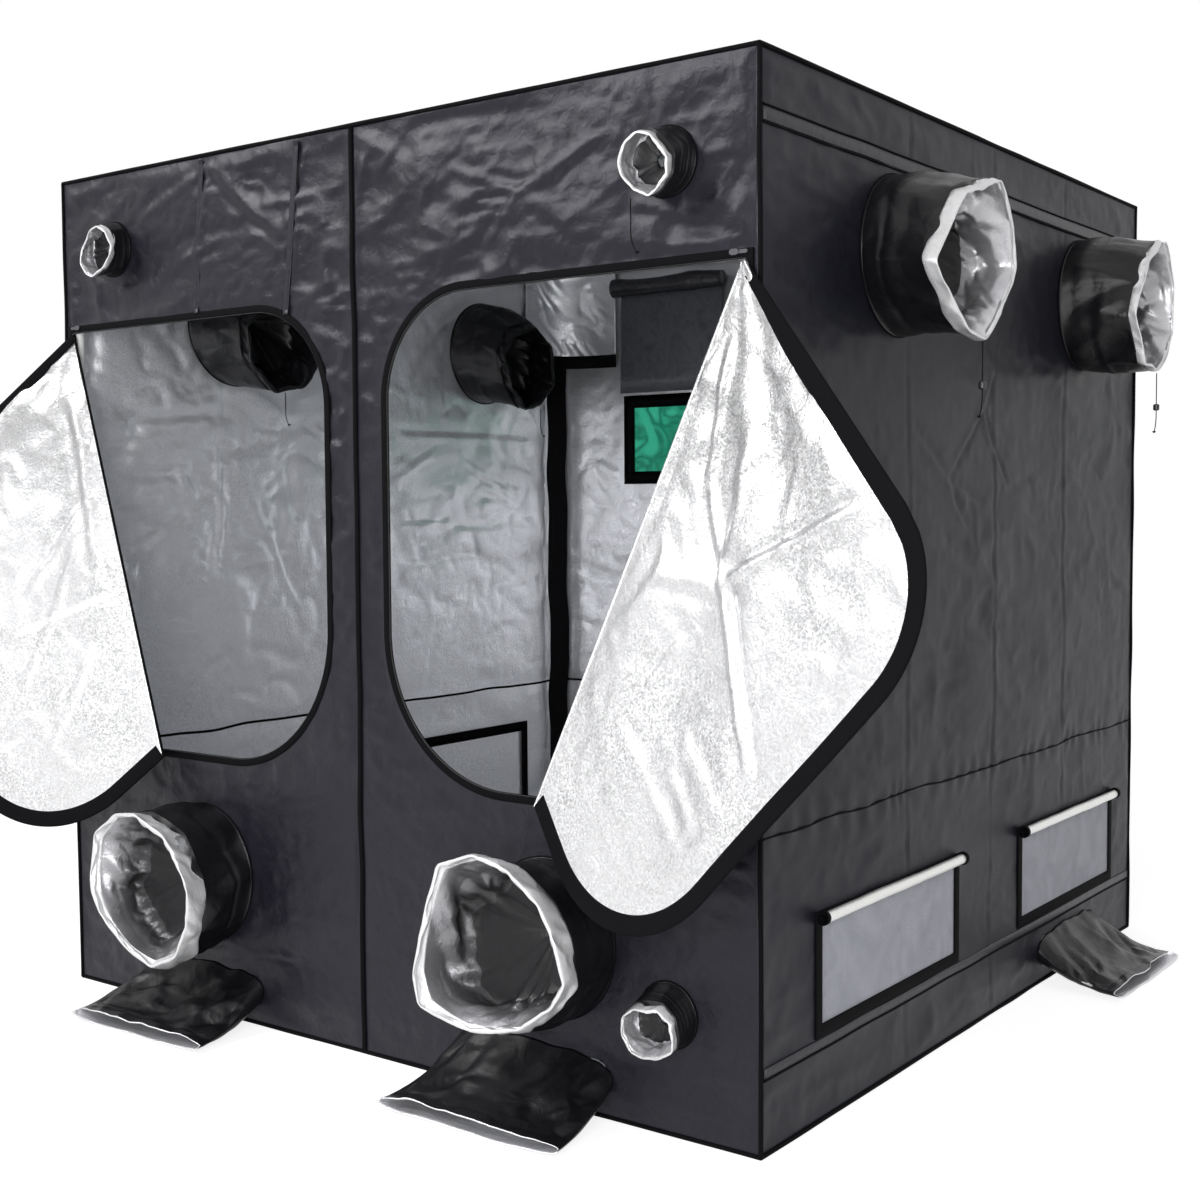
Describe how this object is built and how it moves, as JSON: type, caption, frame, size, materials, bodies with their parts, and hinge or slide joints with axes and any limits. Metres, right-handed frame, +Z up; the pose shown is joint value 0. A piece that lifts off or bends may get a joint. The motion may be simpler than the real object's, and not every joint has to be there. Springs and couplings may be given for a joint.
{
  "type": "indoor grow tent",
  "caption": "Walk-in indoor grow tent on a steel tube frame, with fold-back D-shaped doors, duct sleeves, floor socks, mesh vents, a green window and sliding roof bars.",
  "frame": {"origin": "middle of the floor's underside, on the surface that the tent stands on", "axes": "+Z up, the doors face -Y, +X is to the right of someone who faces the doors"},
  "size_m": [2.9114, 2.3119, 2],
  "materials": {
    "shell_cloth": "black coated woven cloth, silver inside",
    "sleeve_cloth": "light black coated cloth, crumpled, silver inside",
    "silver_lining": "silver reflective coating on cloth",
    "frame_steel": "white powder-coated steel tube",
    "connector_steel": "zinc-plated steel",
    "vent_mesh": "fine light grey mesh",
    "vent_cover_cloth": "rolled silver-white backed cloth",
    "green_film": "clear green film",
    "blackout_film": "glossy black film",
    "zip_metal": "dark plated metal",
    "drawcord": "thin black braided cord",
    "toggle_plastic": "black moulded plastic"
  },
  "bodies": {
    "root": {"back_wall": "shell_cloth", "bottom_rail_front": "frame_steel", "bottom_rail_left": "frame_steel", "bottom_rail_rear": "frame_steel", "bottom_rail_right": "frame_steel", "cable_port_low_right": "sleeve_cloth", "cable_port_top_left": "sleeve_cloth", "cable_port_top_right": "sleeve_cloth", "corner_bottom_front_left": "connector_steel", "corner_bottom_front_right": "connector_steel", "corner_bottom_rear_left": "connector_steel", "corner_bottom_rear_right": "connector_steel", "corner_top_front_left": "connector_steel", "corner_top_front_right": "connector_steel", "corner_top_rear_left": "connector_steel", "corner_top_rear_right": "connector_steel", "drawcord_inner_front": "drawcord", "drawcord_inner_rear": "drawcord", "drawcord_port": "drawcord", "drawcord_right_front": "drawcord", "drawcord_right_rear": "drawcord", "duct_sleeve_front_left": "sleeve_cloth", "duct_sleeve_front_right": "sleeve_cloth", "duct_sleeve_right_front": "sleeve_cloth", "duct_sleeve_right_rear": "sleeve_cloth", "floor_panel": "shell_cloth", "floor_sock_front_left": "sleeve_cloth", "floor_sock_front_right": "sleeve_cloth", "floor_sock_right": "sleeve_cloth", "front_wall_left": "shell_cloth", "front_wall_right": "shell_cloth", "inner_sleeve_left_front": "sleeve_cloth", "inner_sleeve_left_rear": "sleeve_cloth", "left_wall": "shell_cloth", "right_wall": "shell_cloth", "roof_panel": "shell_cloth", "top_rail_front": "frame_steel", "top_rail_left": "frame_steel", "top_rail_rear": "frame_steel", "top_rail_right": "frame_steel", "upright_front_left": "frame_steel", "upright_front_right": "frame_steel", "upright_rear_left": "frame_steel", "upright_rear_right": "frame_steel", "vent_cover_front": "vent_cover_cloth", "vent_cover_rear": "vent_cover_cloth", "vent_mesh_front": "vent_mesh", "vent_mesh_rear": "vent_mesh", "window_cover": "blackout_film", "window_film": "green_film"},
    "door_left_panel": {"door_left_panel": "shell_cloth"},
    "door_left_flap": {"door_left_flap": "silver_lining"},
    "door_right_panel": {"door_right_panel": "shell_cloth"},
    "door_right_flap": {"door_right_flap": "silver_lining"},
    "roof_bar_left": {"roof_bar_left": "frame_steel"},
    "roof_bar_right": {"roof_bar_right": "frame_steel"},
    "zip_slider_left": {"zip_slider_left": "zip_metal"},
    "zip_slider_right": {"zip_slider_right": "zip_metal"},
    "toggle_right_front": {"toggle_right_front": "toggle_plastic"},
    "toggle_right_rear": {"toggle_right_rear": "toggle_plastic"}
  },
  "joints": [
    {"name": "door_left_swing", "type": "hinge", "parent": "root", "child": "door_left_panel", "pos_m": [-0.97, -1, 1.625], "axis": [0, 0, -1], "range_deg": [-11.5, 20]},
    {"name": "door_left_fold", "type": "hinge", "parent": "door_left_panel", "child": "door_left_flap", "pos_m": [-0.97, -1, 1.625], "axis": [-0.3816, 0.0776, 0.9211], "range_deg": [0, 147.7]},
    {"name": "door_right_swing", "type": "hinge", "parent": "root", "child": "door_right_panel", "pos_m": [0.97, -1, 1.625], "axis": [0, 0, 1], "range_deg": [-11.5, 20]},
    {"name": "door_right_fold", "type": "hinge", "parent": "door_right_panel", "child": "door_right_flap", "pos_m": [0.97, -1, 1.625], "axis": [-0.3816, -0.0776, -0.9211], "range_deg": [0, 147.7]},
    {"name": "bar_left_slide", "type": "slide", "parent": "root", "child": "roof_bar_left", "axis": [1, 0, 0], "range_m": [-0.25, 0.25]},
    {"name": "bar_right_slide", "type": "slide", "parent": "root", "child": "roof_bar_right", "axis": [1, 0, 0], "range_m": [-0.25, 0.25]},
    {"name": "zip_left_slide", "type": "slide", "parent": "root", "child": "zip_slider_left", "axis": [1, 0, 0], "range_m": [0, 0.6]},
    {"name": "zip_right_slide", "type": "slide", "parent": "root", "child": "zip_slider_right", "axis": [-1, 0, 0], "range_m": [0, 0.6]},
    {"name": "toggle_front_slide", "type": "slide", "parent": "root", "child": "toggle_right_front", "axis": [0, 0, 1], "range_m": [-0.01, 0.06]},
    {"name": "toggle_rear_slide", "type": "slide", "parent": "root", "child": "toggle_right_rear", "axis": [0, 0, 1], "range_m": [-0.01, 0.06]}
  ]
}
